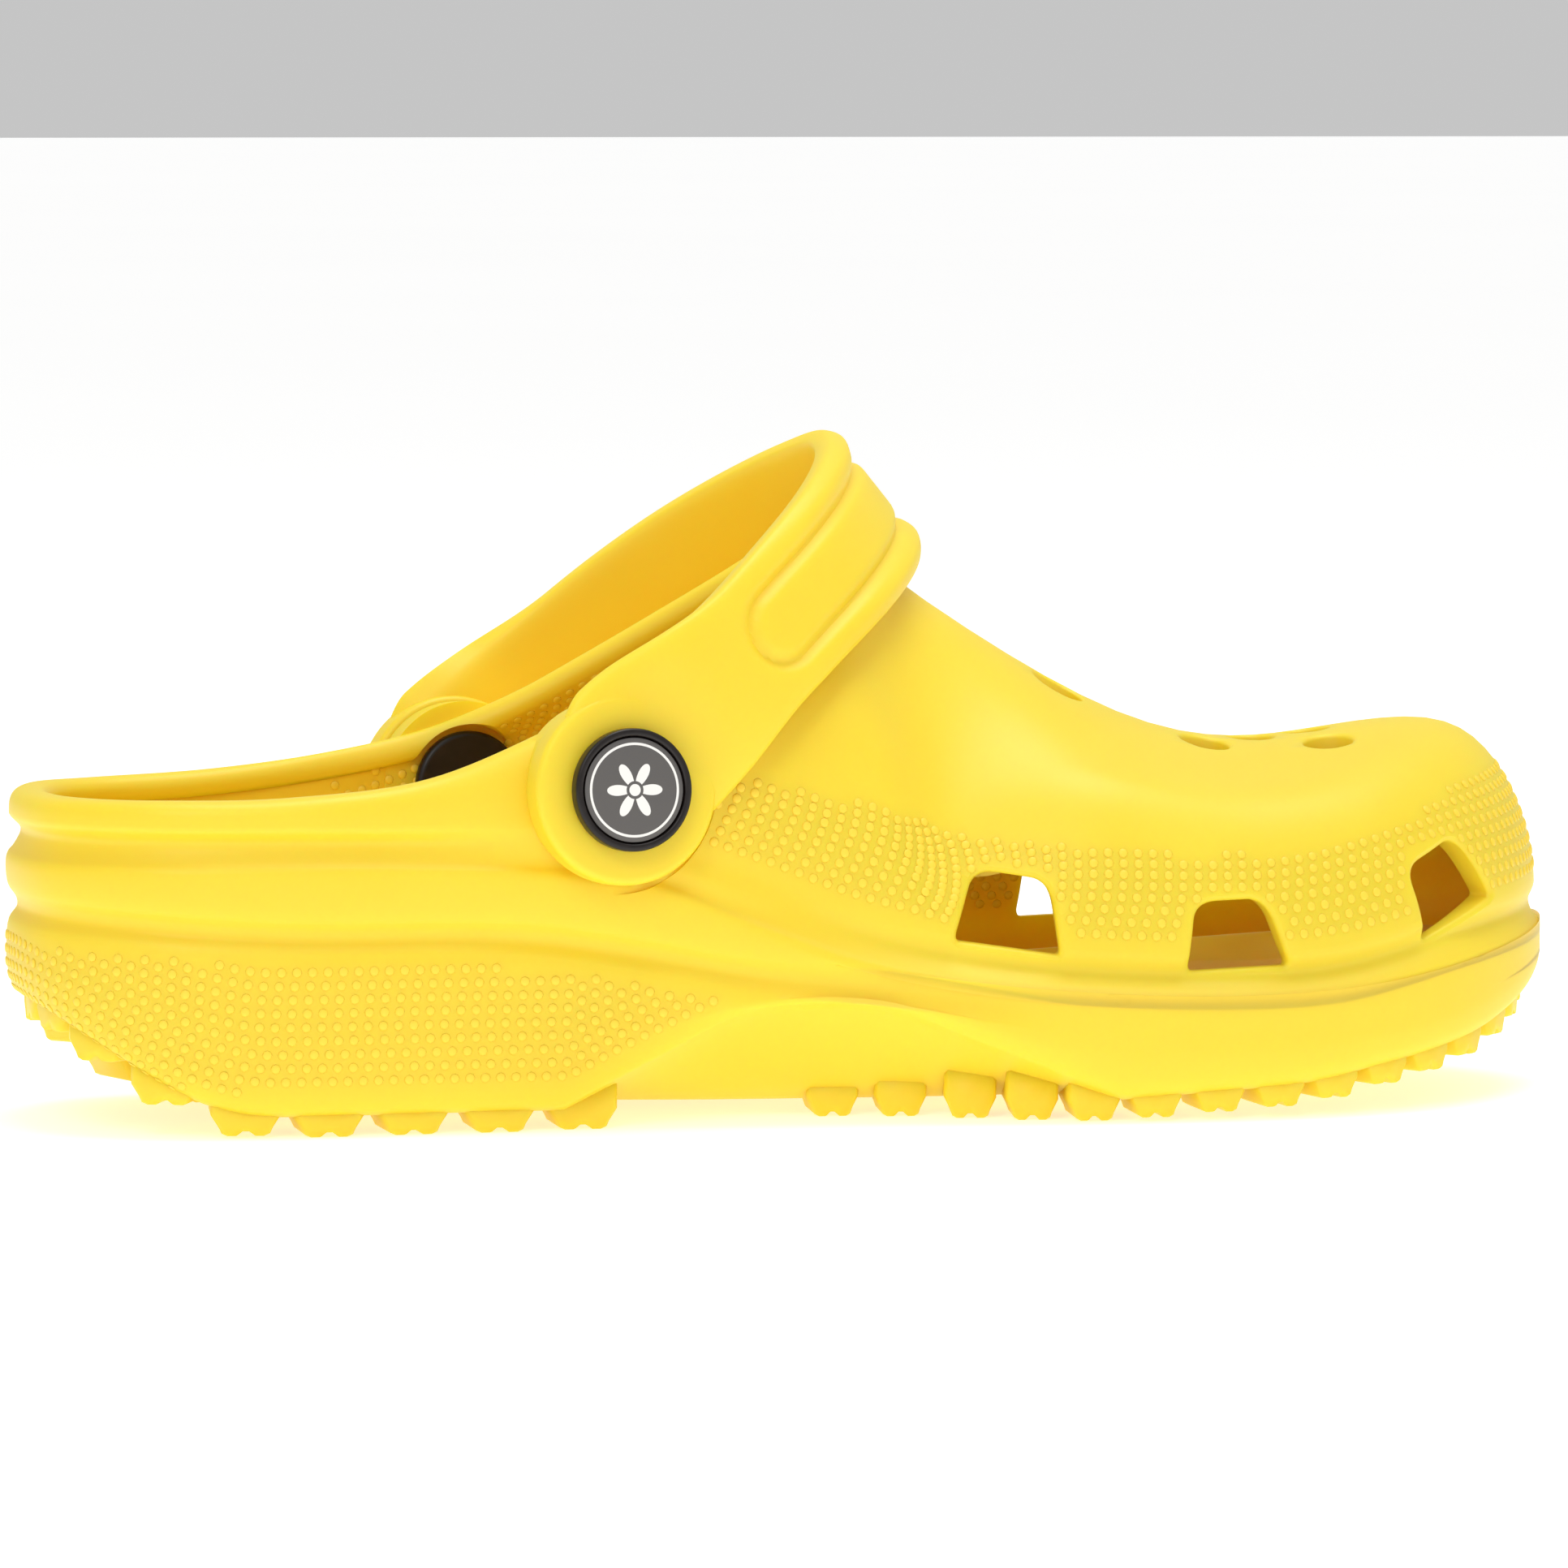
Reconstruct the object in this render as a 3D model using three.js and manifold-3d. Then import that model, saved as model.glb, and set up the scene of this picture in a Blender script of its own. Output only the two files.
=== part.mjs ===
import * as THREE from 'three';
import { LoftGeometry } from 'three/addons/geometries/LoftGeometry.js';
import { mergeVertices } from 'three/addons/utils/BufferGeometryUtils.js';
import Module from 'manifold-3d';

const wasm = await Module();
wasm.setup();

// Left clog, millimetres. While it is drawn, x runs from the heel back (0) to the toe,
// y from the inner side (negative) to the outer side, z up from the ground.
const clogLength = 272;
const clogWidth = 107;
const wallThickness = 4.6;
const lugDrop = 3.5;

// The stations, levels and places below are drawn for this length and width, and stretched to the real ones.
const drawnLength = 272;
const drawnWidth = 107;
const stretchX = clogLength / drawnLength;
const stretchY = clogWidth / drawnWidth;
const middleY = 1.96;
const frameShift = [-clogLength / 2, -middleY * stretchY, 0];

// One row per station round the shoe, heel back first, then along the inner side.
// [outline x, outline y, throat edge x, throat edge y, throat edge z]
const stations = [
  [0, -1, 5, -1, 56.4],
  [4, -20, 9, -18, 56.4],
  [19, -33, 21, -28.5, 56.5],
  [42, -38, 42, -33, 56.9],
  [68, -38.5, 66, -34, 59.8],
  [94, -39.5, 89, -34, 68.8],
  [120, -41, 106, -31, 76],
  [146, -44, 120, -25, 84],
  [171, -49, 131, -17.5, 91],
  [196, -51.5, 139, -11, 97],
  [220, -50.5, 143, -5.5, 100],
  [242, -43, 145, -1.5, 101],
  [259, -29, 145.7, 1.5, 101.4],
  [269, -12, 146, 3, 101.5],
  [272, 4, 146, 4.5, 101.5],
  [266, 20, 145.5, 6, 101.4],
  [253, 36, 144.5, 8.5, 101],
  [235, 47, 142, 11.5, 99.8],
  [212, 53.5, 138, 15.5, 96.5],
  [187, 55.5, 131, 20, 91],
  [162, 55, 121, 26, 84],
  [137, 52, 108, 31, 76],
  [112, 48, 94, 34.5, 68.5],
  [88, 43.5, 78, 36, 62.5],
  [64, 39.5, 60, 34.5, 59],
  [40, 37.5, 40, 32.5, 56.8],
  [18, 32.5, 20, 27.5, 56.2],
  [4, 19, 9, 17, 56.5],
];

// Levels along the shoe as [x, value] pairs.
const treadBase = [[0, 21], [8, 16], [17, 10.5], [27, 5.6], [38, 3.5], [172, 3.5], [198, 4.8],
  [217, 6], [229, 8], [240, 9.8], [251, 12], [260, 15], [272, 19.5]];
const archLift = [[88, 0], [104, 8], [119, 14.5], [141, 15], [160, 8.5], [182, 0]];
const bulgeLevel = [[0, 29], [20, 24], [60, 19], [100, 20], [140, 21], [180, 14], [230, 16], [272, 25]];
const lowGroove = [[0, 37], [40, 34], [80, 33], [100, 30], [120, 26], [141, 23.5], [170, 20],
  [200, 18.5], [230, 20], [272, 27]];
const lowGrooveDepth = [[0, 1.6], [110, 1.4], [150, 0.8], [175, 0], [272, 0]];
const randTop = [[0, 46], [60, 45.5], [100, 42.5], [120, 35], [140, 28], [165, 23.5], [195, 21.5],
  [220, 22], [245, 26.5], [272, 30]];
const highGroove = [[0, 49.5], [60, 49], [95, 47.5], [120, 39], [140, 31.5], [165, 26.5], [195, 24.5],
  [220, 25], [245, 29.5], [272, 33]];
const highGrooveDepth = [[0, 1.6], [60, 1.5], [90, 0.6], [115, 1.8], [140, 3.2], [170, 3.8],
  [250, 3.2], [272, 2]];
const wallBase = [[0, 52], [60, 51.5], [95, 50.5], [120, 42.5], [140, 35], [165, 30], [195, 28],
  [220, 28.5], [245, 33], [272, 36]];
const crest = [[80, 104], [138, 104], [146, 101.5], [153, 92.2], [161, 86], [170, 80], [179.5, 74],
  [187, 69.5], [196, 65.2], [205, 62.1], [215, 61], [224, 61.2], [233, 62.6], [243, 64], [253, 64.8], [272, 64.8]];
const crownDrop = [[80, 0.045], [133, 0.048], [143, 0.047], [151, 0.052], [165, 0.036], [180, 0.019],
  [210, 0.009], [250, 0.007], [272, 0.007]];
const crownFade = 45;
const crownCentre = [[80, 2], [146, 6], [165, 5.5], [200, 3], [272, 2]];
const wallInset = [[0, 0.6], [85, 0.8], [105, 1.8], [125, 2.8], [170, 2.8], [250, 2], [272, 1]];
const shoulder = [[0, 5.2], [80, 8], [110, 18], [140, 26], [200, 26], [250, 20], [272, 17]];
const boxiness = [[0, 3.2], [90, 3], [130, 2.2], [180, 1.9], [272, 1.75]];
const footbed = [[0, 30], [30, 26], [60, 24], [110, 21], [160, 16.5], [200, 15.5], [235, 18.5],
  [262, 24], [272, 27]];

const columnCount = 64;
const wallRows = 11;
const rimTurns = [45, 90, 135];
const linedRows = [11, 10, 9, 8, 7, 6, 5, 4, 2, 0];
const spreadPower = 2.2;
const vampFrom = 80;
const vampTo = 165;
const outerArchShare = 0.25;
const soleEdge = 4.2;
const soleRim = 18;
const crownedBy = 0.4;
const centreShare = 0.72;
const grooveReach = 1.6;

function along(table, place) {
  const x = place / stretchX;
  const last = table.length - 1;
  if (x <= table[0][0]) return table[0][1];
  if (x >= table[last][0]) return table[last][1];
  let i = 0;
  while (x > table[i + 1][0]) i += 1;
  const slope = (k) => {
    const a = table[Math.max(k - 1, 0)];
    const b = table[Math.min(k + 1, last)];
    return (b[1] - a[1]) / (b[0] - a[0]);
  };
  const run = table[i + 1][0] - table[i][0];
  const t = (x - table[i][0]) / run;
  const h = t * t * (3 - 2 * t);
  const ease = t * (1 - t) * (1 - t) * slope(i) - t * t * (1 - t) * slope(i + 1);
  return table[i][1] * (1 - h) + table[i + 1][1] * h + ease * run;
}

function placed(x, y, z) {
  return new THREE.Vector3(x * stretchX, y * stretchY, z);
}

const outline = new THREE.CatmullRomCurve3(stations.map((s) => placed(s[0], s[1], 0)), true);
const throat = new THREE.CatmullRomCurve3(stations.map((s) => placed(s[2], s[3], s[4])), true);
outline.curveType = 'catmullrom';
throat.curveType = 'catmullrom';

// Everything a column of the shell needs: its edge point, inward direction and throat point.
function column(t) {
  const edge = outline.getPoint(t);
  const run = outline.getTangent(t);
  return { edge, inward: new THREE.Vector3(-run.y, run.x, 0), lip: throat.getPoint(t), inner: edge.y < 0 };
}

function inset(col, depth, z) {
  return new THREE.Vector3(col.edge.x, col.edge.y, z).addScaledVector(col.inward, depth);
}

function crown(x, y) {
  const drift = Math.pow(y / stretchY - along(crownCentre, x), 2);
  return along(crest, x) - along(crownDrop, x) * drift / (1 + drift / (crownFade * crownFade));
}

// A point on the upper, q = 0 at the wall base and 1 at the throat edge.
function upper(col, q) {
  const base = inset(col, along(wallInset, col.edge.x), along(wallBase, col.edge.x));
  const span = Math.hypot(col.lip.x - base.x, col.lip.y - base.y);
  const spread = Math.pow(q, spreadPower);
  const x = base.x + (col.lip.x - base.x) * spread;
  const y = base.y + (col.lip.y - base.y) * spread;
  const reach = Math.min(along(shoulder, col.edge.x), span);
  const near = Math.min(span * spread / reach, 1);
  const p = along(boxiness, col.edge.x);
  const rise = Math.pow(1 - Math.pow(1 - near, p), 1 / p);
  const vamp = THREE.MathUtils.smoothstep(col.edge.x, vampFrom * stretchX, vampTo * stretchX);
  const arched = crown(x, y) + (col.lip.z - crown(col.lip.x, col.lip.y)) * spread;
  const level = THREE.MathUtils.lerp(col.lip.z, arched, vamp);
  return new THREE.Vector3(x, y, base.z + (level - base.z) * rise);
}

function treadLevel(x) {
  return Math.max(along(treadBase, x), lugDrop);
}

function archAt(col) {
  return along(archLift, col.edge.x) * (col.inner ? 1 : outerArchShare);
}

// The middle line of the sole under a column, kept away from the rounded ends.
function centreOf(col, z) {
  const endGap = 40;
  const x = THREE.MathUtils.clamp(col.edge.x, endGap - 6, clogLength - endGap);
  return new THREE.Vector3(x, 1 + 0.01 * x, z);
}

function shellRows() {
  const cols = [];
  for (let i = 0; i < columnCount; i += 1) cols.push(column(i / columnCount));
  const rows = [];
  const ring = (make) => rows.push(cols.map(make));
  const tread = (c) => treadLevel(c.edge.x);
  ring((c) => inset(c, 0, tread(c) - crownedBy).lerp(centreOf(c, tread(c) - crownedBy), centreShare));
  ring((c) => inset(c, soleRim, tread(c)));
  ring((c) => inset(c, soleEdge, tread(c) + archAt(c)));
  ring((c) => inset(c, 1.4, tread(c) + archAt(c) + 1.6));
  ring((c) => inset(c, 0.2, (tread(c) + archAt(c) + along(bulgeLevel, c.edge.x)) / 2 + 1));
  ring((c) => inset(c, 0, Math.max(along(bulgeLevel, c.edge.x), tread(c) + archAt(c) + 3)));
  ring((c) => inset(c, 0.1, along(lowGroove, c.edge.x) - grooveReach));
  ring((c) => inset(c, along(lowGrooveDepth, c.edge.x), along(lowGroove, c.edge.x)));
  ring((c) => inset(c, 0.1, along(lowGroove, c.edge.x) + grooveReach));
  ring((c) => inset(c, 0, along(randTop, c.edge.x) - 1.8));
  ring((c) => inset(c, 0.9, along(randTop, c.edge.x)));
  ring((c) => inset(c, along(highGrooveDepth, c.edge.x), along(highGroove, c.edge.x)));
  const wallStart = rows.length;
  for (let k = 0; k <= wallRows; k += 1) ring((c) => upper(c, k / wallRows));
  const outer = rows.slice(wallStart);
  const normals = surfaceNormals(outer);
  const tip = wallRows;
  for (const turn of rimTurns) {
    rows.push(cols.map((c, i) => {
      const away = outer[tip][i].clone().sub(outer[tip - 1][i]).normalize();
      const up = normals[tip][i];
      const middle = outer[tip][i].clone().addScaledVector(up, -wallThickness / 2);
      const angle = THREE.MathUtils.degToRad(turn);
      middle.addScaledVector(up, Math.cos(angle) * wallThickness / 2);
      return middle.addScaledVector(away, Math.sin(angle) * wallThickness / 2);
    }));
  }
  for (const k of linedRows) {
    rows.push(cols.map((c, i) => outer[k][i].clone().addScaledVector(normals[k][i], -wallThickness)));
  }
  const bed = (c) => along(footbed, c.edge.x);
  ring((c) => inset(c, wallThickness + 0.8, bed(c) + 6));
  ring((c) => inset(c, wallThickness + 2, bed(c) + 2));
  ring((c) => inset(c, wallThickness + 4.9, bed(c)));
  ring((c) => inset(c, soleRim, bed(c) + crownedBy));
  ring((c) => inset(c, 0, bed(c) + crownedBy * 2).lerp(centreOf(c, bed(c) + crownedBy * 2), centreShare));
  return rows;
}

function surfaceNormals(rows) {
  const count = rows[0].length;
  return rows.map((row, k) => row.map((point, i) => {
    const across = rows[Math.min(k + 1, rows.length - 1)][i].clone().sub(rows[Math.max(k - 1, 0)][i]);
    const round = row[(i + 1) % count].clone().sub(row[(i + count - 1) % count]);
    return round.cross(across).normalize();
  }));
}

function solid(geometry) {
  const bare = new THREE.BufferGeometry();
  bare.setAttribute('position', geometry.attributes.position);
  bare.setIndex(geometry.index);
  const merged = mergeVertices(bare, 1e-4);
  return new wasm.Manifold(new wasm.Mesh({
    numProp: 3,
    vertProperties: new Float32Array(merged.attributes.position.array),
    triVerts: new Uint32Array(merged.index.array),
  }));
}

function geometryOf(body) {
  const mesh = body.getMesh();
  const geometry = new THREE.BufferGeometry();
  geometry.setAttribute('position', new THREE.BufferAttribute(mesh.vertProperties, 3));
  geometry.setIndex(new THREE.BufferAttribute(mesh.triVerts, 1));
  geometry.computeVertexNormals();
  return geometry;
}

function skin(rows) {
  return solid(new LoftGeometry(rows, { closed: true, capStart: true, capEnd: true }));
}

// A solid of revolution about local z, from a profile of [radius, height] pairs.
function turned(profile, sides) {
  return new THREE.LatheGeometry(profile.map((p) => new THREE.Vector2(p[0], p[1])), sides).rotateX(Math.PI / 2);
}

function disc(radius, from, to, sides = 36) {
  return turned([[0, from], [radius, from], [radius, to], [0, to]], sides);
}

// The strap swings about the line through the two seats, lateral seat towards local +y.
const medialSeat = placed(96.2, -38.4, 57.6);
const lateralSeat = placed(86.2, 42, 52.2);
const seatGap = 0.3;
const bossRadius = 16;
const bossThickness = 6;
const seatClearance = 1.6;
const seatRadius = bossRadius + seatClearance;
const seatRelief = 9;
const padThickness = 5.4;
const padRadius = bossRadius - 1;
const postRadius = 3.6;
const turningClearance = 0.5;
const postHoleRadius = postRadius + turningClearance;
const studRadius = 2.1;
const studHoleRadius = studRadius + 0.4;
const studLength = padThickness + 3;
const headRadius = 10.3;
const headThickness = 3;
const headBevel = 0.9;
const badgeRadius = headRadius - 1.6;
const badgeThickness = 0.8;
const badgeSunk = 0.2;
const capRadius = 9.8;
const capThickness = 2.6;
const capBevel = 1.3;
const capBayRadius = capRadius + 1.2;
const capBayDepth = 9;
const strapRestAngle = 39.6;
const strapReach = 78.5;
const strapThickness = 2.9;
const strapHalfWidth = 11.9;
const halfSpan = medialSeat.distanceTo(lateralSeat) / 2;

const hingeAxis = lateralSeat.clone().sub(medialSeat).normalize();
const hingeForward = new THREE.Vector3(1, 0, 0).addScaledVector(hingeAxis, -hingeAxis.x).normalize();
const hingeUp = hingeForward.clone().cross(hingeAxis);
const hingeCentre = medialSeat.clone().add(lateralSeat).multiplyScalar(0.5);
const hingeFrame = new THREE.Matrix4().makeBasis(hingeForward, hingeAxis, hingeUp).setPosition(hingeCentre);

// Places a shape drawn along local z so that z points outwards from a seat, z = 0 on the seat.
function seatFrame(side) {
  const out = hingeAxis.clone().multiplyScalar(side);
  const across = hingeUp.clone().cross(out);
  const seat = side < 0 ? medialSeat : lateralSeat;
  return new THREE.Matrix4().makeBasis(across, hingeUp, out).setPosition(seat);
}

// The windows in the side walls: their middle, which side, their size, and how far the toe end is tipped up.
const vents = [
  { x: 163, z: 35.8, side: -1, width: 18, height: 12.2, tilt: -8 },
  { x: 202.5, z: 31.6, side: -1, width: 17.5, height: 11.6, tilt: 2 },
  { x: 245.5, z: 38.4, side: -1, width: 19, height: 12.6, tilt: 20 },
  { x: 200, z: 32.4, side: 1, width: 18, height: 12, tilt: 2 },
  { x: 232, z: 35.4, side: 1, width: 17.5, height: 12, tilt: 8 },
  { x: 259, z: 42.4, side: 1, width: 16, height: 11.6, tilt: 18 },
];
const ventCorner = 3.4;
const ventDepth = 12;
const ventOvershoot = 4;
const topHoleRadius = 4.3;
const topHoleFrom = 42;
const topHoleLength = 90;
const topHoles = [[183, -4], [183, 11], [183, 26], [196, 5], [196, 20], [208.6, -8], [208.6, 7],
  [208.6, 22], [219.5, 0.5], [219.5, 13], [230.6, -10], [230.6, 4], [230.6, 18]];

function nearest(x, side) {
  let best = 0;
  let score = Infinity;
  for (let i = 0; i < 400; i += 1) {
    const point = outline.getPoint(i / 400);
    const error = Math.abs(point.x - x);
    if (point.y * side > 0 && error < score) {
      score = error;
      best = i / 400;
    }
  }
  return column(best);
}

// Flat-bottomed window with a rounded top and a slanted front; facing is 1 when local x runs to the toe.
function ventShape(vent, facing) {
  const w = vent.width / 2;
  const h = vent.height / 2;
  const r = ventCorner;
  const shape = new THREE.Shape();
  shape.moveTo(facing * (1 - w), -h);
  shape.lineTo(facing * (w - 1), -h);
  shape.quadraticCurveTo(facing * w, -h, facing * (w - 0.4), -h + 1.4);
  shape.lineTo(facing * (w - 2.2), h - r * 1.3);
  shape.quadraticCurveTo(facing * (w - 3.4), h, facing * (w - 3.4 - r), h);
  shape.lineTo(facing * (2.2 + r - w), h);
  shape.quadraticCurveTo(facing * (1.6 - w), h, facing * (1.2 - w), h - r);
  shape.lineTo(facing * -w, -h + 1.4);
  shape.quadraticCurveTo(facing * -w, -h, facing * (1 - w), -h);
  return shape;
}

function ventCutter(vent) {
  const col = nearest(vent.x * stretchX, vent.side);
  const out = col.inward.clone().negate();
  const up = new THREE.Vector3(0, 0, 1);
  const middle = inset(col, ventDepth, vent.z);
  const frame = new THREE.Matrix4().makeBasis(up.clone().cross(out), up, out).setPosition(middle);
  const cut = new THREE.ExtrudeGeometry(ventShape(vent, -vent.side), {
    depth: ventDepth + ventOvershoot,
    bevelEnabled: false,
    curveSegments: 4,
  });
  cut.rotateZ(-vent.side * THREE.MathUtils.degToRad(vent.tilt));
  return solid(cut.applyMatrix4(frame));
}

function topHoleCutter([x, y]) {
  const middle = placed(x, y, topHoleFrom);
  return solid(disc(topHoleRadius, 0, topHoleLength, 20).translate(middle.x, middle.y, middle.z));
}

// The two rows of tread blocks, each along a stretch of the outline given as turns round it.
const lugZones = [
  { from: 0.815, to: 1.175, pitch: 14, width: 9, depth: 14 },
  { from: 0.22, to: 0.765, pitch: 10.4, width: 6.8, depth: 14 },
];
const lugRoot = 2.5;
const lugEdgeGap = 4.6;
const lugArchShare = 0.8;

// One tread block, its bottom flat, pushed down from the edge of the sole.
function lug(t, width, depth) {
  const col = column(t);
  const height = lugDrop + lugRoot;
  const block = new THREE.BoxGeometry(width, depth, height);
  const turn = Math.atan2(-col.inward.x, col.inward.y);
  const level = treadLevel(col.edge.x) - lugDrop + height / 2;
  const place = inset(col, lugEdgeGap + depth / 2 + archAt(col) * lugArchShare, level);
  return solid(block.rotateZ(turn).translate(place.x, place.y, place.z));
}

function lugs() {
  const found = [];
  for (const zone of lugZones) {
    const steps = 400;
    let travelled = 0;
    let last = outline.getPoint(zone.from % 1);
    for (let i = 0; i <= steps; i += 1) {
      const t = zone.from + (zone.to - zone.from) * i / steps;
      const point = outline.getPoint(t % 1);
      travelled += point.distanceTo(last);
      last = point;
      if (travelled >= zone.pitch) {
        travelled = 0;
        found.push(lug(t % 1, zone.width, zone.depth));
      }
    }
  }
  return found;
}

function seatSolid(profile, side, sides) {
  return solid(turned(profile, sides).applyMatrix4(seatFrame(side)));
}

function bore(radius, from, to, side, sides = 32) {
  return solid(disc(radius, from, to, sides).applyMatrix4(seatFrame(side)));
}

function clogBody() {
  let body = skin(shellRows());
  for (const side of [-1, 1]) {
    body = body.add(bore(padRadius, -padThickness, -0.5, side));
    body = body.subtract(bore(seatRadius, 0, seatRelief, side, 48));
    body = body.subtract(bore(capBayRadius, -padThickness - capBayDepth, -padThickness, side));
    body = body.subtract(bore(postHoleRadius, -padThickness - 4, 4, side));
  }
  for (const vent of vents) body = body.subtract(ventCutter(vent));
  for (const hole of topHoles) body = body.subtract(topHoleCutter(hole));
  for (const block of lugs()) body = body.add(block);
  return body;
}

// Centre line of the strap from the inner boss over the crest to the outer one, in the hinge frame:
// local y along the hinge, local x straight out from it.
function strapPath() {
  const edge = halfSpan + seatGap + bossThickness / 2;
  const side = [[0, 0], [0, 11], [-1.4, 21], [0, 32], [4.4, 44.5], [11.6, 57], [21.8, 67.2], [33, 74]];
  const drawnReach = 77;
  const grow = strapReach / drawnReach;
  const points = side.map((p) => new THREE.Vector3(p[1] * grow, p[0] - edge, 0));
  const far = side.map((p) => new THREE.Vector3(p[1] * grow, edge - p[0], 0)).reverse();
  return new THREE.CatmullRomCurve3([...points, new THREE.Vector3(strapReach, 0, 0), ...far]);
}

const strapSection = [
  [-1, -0.2], [-0.97, 0.62], [-0.87, 1], [-0.74, 0.75], [-0.66, 0.3], [0, 0.3], [0.66, 0.3], [0.74, 0.75],
  [0.87, 1], [0.97, 0.62], [1, -0.2], [0.94, -0.7], [0.8, -0.8], [0, -0.6], [-0.8, -0.8], [-0.94, -0.7],
];

function strapBody() {
  const path = strapPath();
  const count = 34;
  const rows = [];
  for (let i = 0; i <= count; i += 1) {
    const t = i / count;
    const centre = path.getPointAt(t);
    const run = path.getTangentAt(t);
    const out = new THREE.Vector3(-run.y, run.x, 0).negate();
    const arm = Math.min(t, 1 - t) * 2;
    const half = strapHalfWidth + 1.2 * THREE.MathUtils.smoothstep(arm, 0.25, 0.9);
    const shift = 2.2 * (1 - THREE.MathUtils.smoothstep(arm, 0.4, 0.95));
    rows.push(strapSection.map((p) => centre.clone()
      .addScaledVector(out, p[1] * strapThickness)
      .add(new THREE.Vector3(0, 0, shift - p[0] * half))));
  }
  let strap = skin(rows);
  for (const side of [-1, 1]) {
    const from = halfSpan + seatGap;
    const boss = disc(bossRadius, from, from + bossThickness).rotateX(side * -Math.PI / 2);
    strap = strap.add(solid(boss));
    const hole = disc(postHoleRadius, from - 2, from + bossThickness + 2, 32).rotateX(side * -Math.PI / 2);
    strap = strap.subtract(solid(hole));
  }
  return strap;
}

const group = new THREE.Group();
function add(name, body, colour, roughness) {
  const mesh = new THREE.Mesh(geometryOf(body), new THREE.MeshStandardMaterial({ color: colour, roughness }));
  mesh.name = name;
  mesh.geometry.translate(...frameShift);
  group.add(mesh);
}

function placeStrap(strap) {
  const tilt = new THREE.Matrix4().makeRotationY(-THREE.MathUtils.degToRad(strapRestAngle));
  return strap.transform(hingeFrame.clone().multiply(tilt).elements);
}

const headSeat = seatGap + bossThickness + seatGap;
const headRim = headSeat + headThickness;
const headFloor = headRim - badgeThickness - badgeSunk;
const headBore = headRadius - headBevel - 0.4;

function rivetButton(side) {
  const end = 0.4 - padThickness;
  return seatSolid([[studHoleRadius, end], [postRadius, end], [postRadius, headSeat],
    [headRadius - 0.5, headSeat], [headRadius, headSeat + 0.6], [headRadius, headRim - headBevel], [headRadius - headBevel, headRim],
    [headBore, headRim], [headBore, headFloor], [0, headFloor], [0, headFloor - 1],
    [studHoleRadius, headFloor - 1], [studHoleRadius, end]], side, 36);
}

function rivetBadge(side) {
  const base = headFloor + seatGap;
  return seatSolid([[0, base], [badgeRadius, base], [badgeRadius, base + badgeThickness - 0.3],
    [badgeRadius * 0.5, base + badgeThickness - 0.1], [0, base + badgeThickness]], side, 36);
}

function rivetCap(side) {
  const seat = -padThickness - seatGap;
  const face = seat - capThickness;
  const tip = seat + studLength + seatGap;
  return seatSolid([[0, face], [capRadius - capBevel, face], [capRadius, face + capBevel],
    [capRadius, seat], [studRadius, seat], [studRadius, tip], [0, tip]], side, 36);
}

add('clog_body', clogBody(), 0xffe23a, 0.5);
add('heel_strap', placeStrap(strapBody()), 0xffe23a, 0.5);
for (const [label, side] of [['medial', -1], ['lateral', 1]]) {
  add(`${label}_rivet_button`, rivetButton(side), 0x120c0c, 0.35);
  add(`${label}_rivet_badge`, rivetBadge(side), 0x5f5c5a, 0.4);
  add(`${label}_rivet_cap`, rivetCap(side), 0x120c0c, 0.4);
}

export default group;
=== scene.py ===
import math

import bmesh
import bpy
import numpy as np
from mathutils import Matrix, Vector
from mathutils.bvhtree import BVHTree


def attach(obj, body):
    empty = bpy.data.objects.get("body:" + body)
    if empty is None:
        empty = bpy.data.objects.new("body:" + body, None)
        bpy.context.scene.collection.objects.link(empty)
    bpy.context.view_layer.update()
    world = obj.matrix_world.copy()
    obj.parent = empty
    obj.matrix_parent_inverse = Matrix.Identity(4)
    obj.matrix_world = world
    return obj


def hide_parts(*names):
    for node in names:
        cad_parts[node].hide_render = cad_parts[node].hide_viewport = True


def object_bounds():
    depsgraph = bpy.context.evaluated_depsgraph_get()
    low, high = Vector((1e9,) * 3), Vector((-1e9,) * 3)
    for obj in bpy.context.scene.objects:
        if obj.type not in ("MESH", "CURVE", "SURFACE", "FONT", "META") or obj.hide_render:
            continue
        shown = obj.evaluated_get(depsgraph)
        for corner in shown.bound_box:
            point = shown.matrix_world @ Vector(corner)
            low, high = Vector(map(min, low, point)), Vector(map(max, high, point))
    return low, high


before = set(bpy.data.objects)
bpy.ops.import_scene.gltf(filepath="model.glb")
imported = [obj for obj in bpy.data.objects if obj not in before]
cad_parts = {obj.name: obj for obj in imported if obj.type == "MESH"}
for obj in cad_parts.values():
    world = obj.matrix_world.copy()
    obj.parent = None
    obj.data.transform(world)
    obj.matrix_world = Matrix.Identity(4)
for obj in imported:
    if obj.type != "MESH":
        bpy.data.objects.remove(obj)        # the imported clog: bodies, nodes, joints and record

mm = 0.001
discMapSize = 20       # side of the square that a printed disc's map covers
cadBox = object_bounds()


# curves and tables, all in millimetres along the shoe: heel back at x = 0

def along(table, x):
    # smooth curve through (x, value) pairs, level beyond its ends
    xs = np.array([p[0] for p in table], float)
    vs = np.array([p[1] for p in table], float)
    slope = np.gradient(vs, xs)
    slope[1:-1] = (vs[2:] - vs[:-2]) / (xs[2:] - xs[:-2])
    x = np.clip(x, xs[0], xs[-1])
    i = np.clip(np.searchsorted(xs, x, side="right") - 1, 0, len(xs) - 2)
    run = xs[i + 1] - xs[i]
    t = (x - xs[i]) / run
    blend = t * t * (3 - 2 * t)
    ease = t * (1 - t) ** 2 * slope[i] - t * t * (1 - t) * slope[i + 1]
    return vs[i] * (1 - blend) + vs[i + 1] * blend + ease * run


def smooth(x, low, high):
    t = np.clip((x - low) / (high - low), 0, 1)
    return t * t * (3 - 2 * t)


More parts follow.
